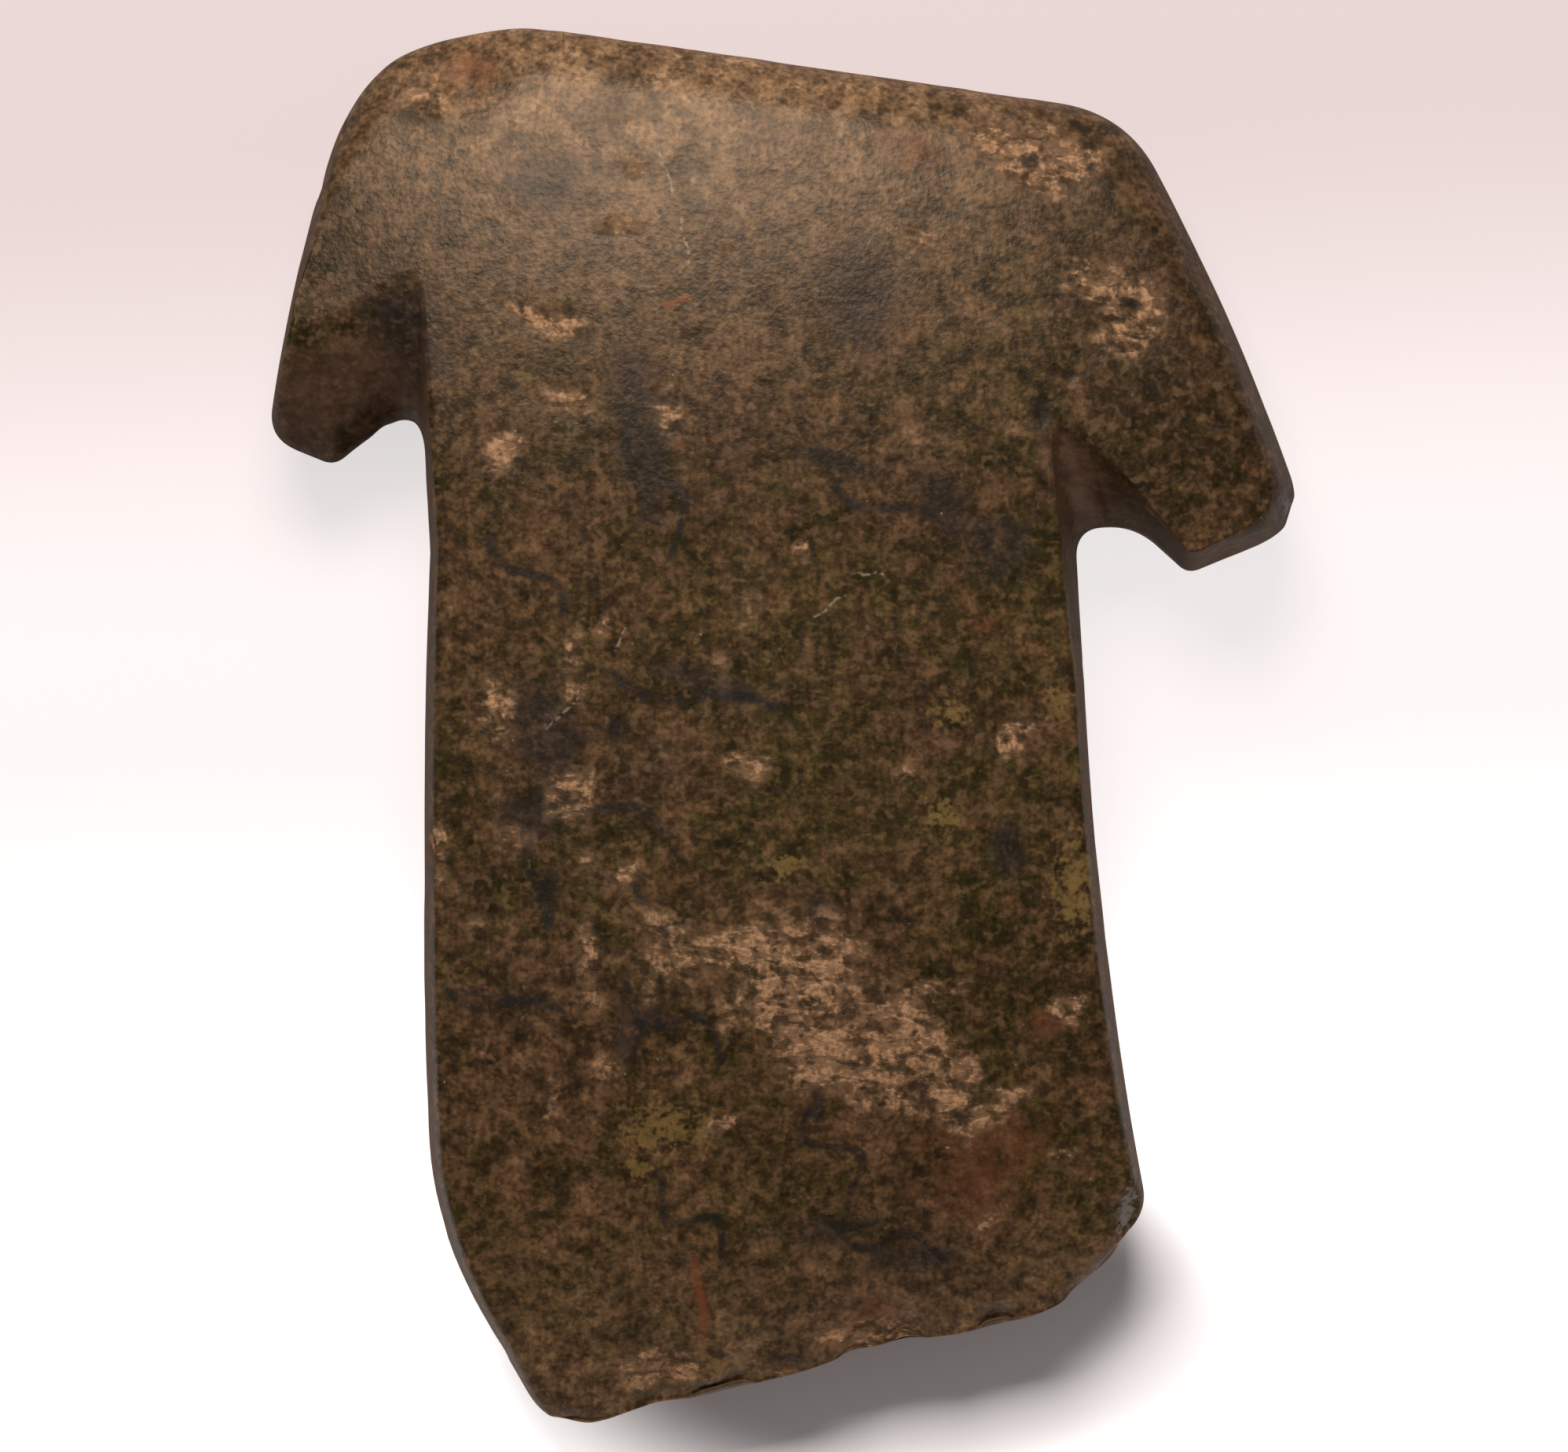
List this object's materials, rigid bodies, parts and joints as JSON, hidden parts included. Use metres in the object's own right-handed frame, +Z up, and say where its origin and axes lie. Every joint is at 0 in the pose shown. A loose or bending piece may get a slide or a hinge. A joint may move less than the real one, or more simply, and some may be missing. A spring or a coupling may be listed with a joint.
{
  "type": "t-shaped stone axe head",
  "caption": "Ground stone axe head with a wide T-shaped butt, a lashing notch under each lug and a flaring blade with a curved bevel.",
  "frame": {"origin": "middle of the bounding box, at the level of the ground flat on the back face", "axes": "+X across the blade, +Y from the cutting edge to the butt, +Z up through the thickness"},
  "size_m": [0.0924, 0.127, 0.023],
  "materials": {
    "polished_stone": "ground and polished, with rough pecked patches"
  },
  "bodies": {
    "root": {"axe_head": "polished_stone"}
  },
  "joints": []
}
